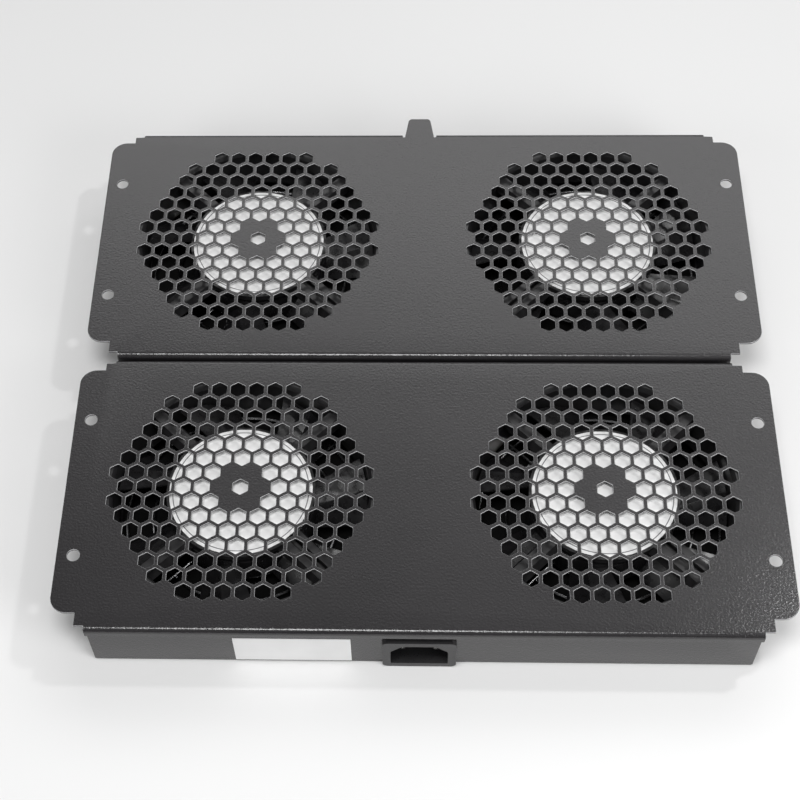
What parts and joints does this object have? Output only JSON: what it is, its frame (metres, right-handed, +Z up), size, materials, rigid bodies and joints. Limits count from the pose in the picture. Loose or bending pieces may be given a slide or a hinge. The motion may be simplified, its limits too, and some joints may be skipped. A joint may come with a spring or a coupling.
{
  "type": "rack fan tray",
  "caption": "Rack roof fan tray: honeycomb steel lids over spinning axial fans on side ears, with a mains inlet socket in the front wall.",
  "frame": {"origin": "middle of the underside of the whole unit", "axes": "+X to the right along the fixing ears, +Y from the mains inlet to the rear, +Z up through the grilles"},
  "size_m": [0.315, 0.2894, 0.031],
  "materials": {
    "powder_coated_steel": "fine-textured dark grey powder coat",
    "fan_frame_black": "black satin paint on die-cast metal",
    "impeller_black": "gloss black moulding",
    "zinc_steel": "bright zinc",
    "bearing_bronze": "sintered bronze",
    "winding_copper": "enamelled windings on laminated steel",
    "label_white": "satin white film, bare",
    "guard_wire": "bright plated wire",
    "inlet_plastic": "dark grey moulding",
    "pin_metal": "nickel plate",
    "earth_insulation": "green insulation",
    "black_rubber": "matt black"
  },
  "bodies": {
    "tray": {"earth_lead": "earth_insulation", "earth_nut": "zinc_steel", "earth_stud": "zinc_steel", "earth_terminal": "pin_metal", "fan_bearings": "bearing_bronze", "fan_stud_nuts": "zinc_steel", "fan_studs": "zinc_steel", "front_label": "label_white", "front_left_end_plate": "powder_coated_steel", "front_left_fan_frame": "fan_frame_black", "front_left_fan_guard": "guard_wire", "front_left_fan_label": "label_white", "front_left_fan_lead": "black_rubber", "front_left_fan_stator": "winding_copper", "front_lid": "powder_coated_steel", "front_right_end_plate": "powder_coated_steel", "front_right_fan_frame": "fan_frame_black", "front_right_fan_guard": "guard_wire", "front_right_fan_label": "label_white", "front_right_fan_lead": "black_rubber", "front_right_fan_stator": "winding_copper", "front_section_front_wall": "powder_coated_steel", "front_section_rear_wall": "powder_coated_steel", "guard_screws": "zinc_steel", "inlet_boot": "black_rubber", "inlet_housing": "inlet_plastic", "inlet_pins": "pin_metal", "joining_bolts": "zinc_steel", "joining_nuts": "zinc_steel", "joining_spacers": "zinc_steel", "lead_grommets": "black_rubber", "rear_left_end_plate": "powder_coated_steel", "rear_left_fan_frame": "fan_frame_black", "rear_left_fan_guard": "guard_wire", "rear_left_fan_label": "label_white", "rear_left_fan_lead": "black_rubber", "rear_left_fan_stator": "winding_copper", "rear_lid": "powder_coated_steel", "rear_right_end_plate": "powder_coated_steel", "rear_right_fan_frame": "fan_frame_black", "rear_right_fan_guard": "guard_wire", "rear_right_fan_label": "label_white", "rear_right_fan_lead": "black_rubber", "rear_right_fan_stator": "winding_copper", "rear_section_front_wall": "powder_coated_steel", "rear_section_rear_wall": "powder_coated_steel"},
    "front_left_rotor": {"front_left_fan_impeller": "impeller_black", "front_left_fan_shaft": "zinc_steel"},
    "front_right_rotor": {"front_right_fan_impeller": "impeller_black", "front_right_fan_shaft": "zinc_steel"},
    "rear_left_rotor": {"rear_left_fan_impeller": "impeller_black", "rear_left_fan_shaft": "zinc_steel"},
    "rear_right_rotor": {"rear_right_fan_impeller": "impeller_black", "rear_right_fan_shaft": "zinc_steel"}
  },
  "joints": [
    {"name": "front_left_fan_spin", "type": "hinge", "parent": "tray", "child": "front_left_rotor", "pos_m": [-0.08, -0.07377, 0.0084], "axis": [0, 0, 1], "continuous": true},
    {"name": "front_right_fan_spin", "type": "hinge", "parent": "tray", "child": "front_right_rotor", "pos_m": [0.08, -0.07377, 0.0084], "axis": [0, 0, 1], "continuous": true},
    {"name": "rear_left_fan_spin", "type": "hinge", "parent": "tray", "child": "rear_left_rotor", "pos_m": [-0.08, 0.06648, 0.0084], "axis": [0, 0, 1], "continuous": true},
    {"name": "rear_right_fan_spin", "type": "hinge", "parent": "tray", "child": "rear_right_rotor", "pos_m": [0.08, 0.06648, 0.0084], "axis": [0, 0, 1], "continuous": true}
  ]
}
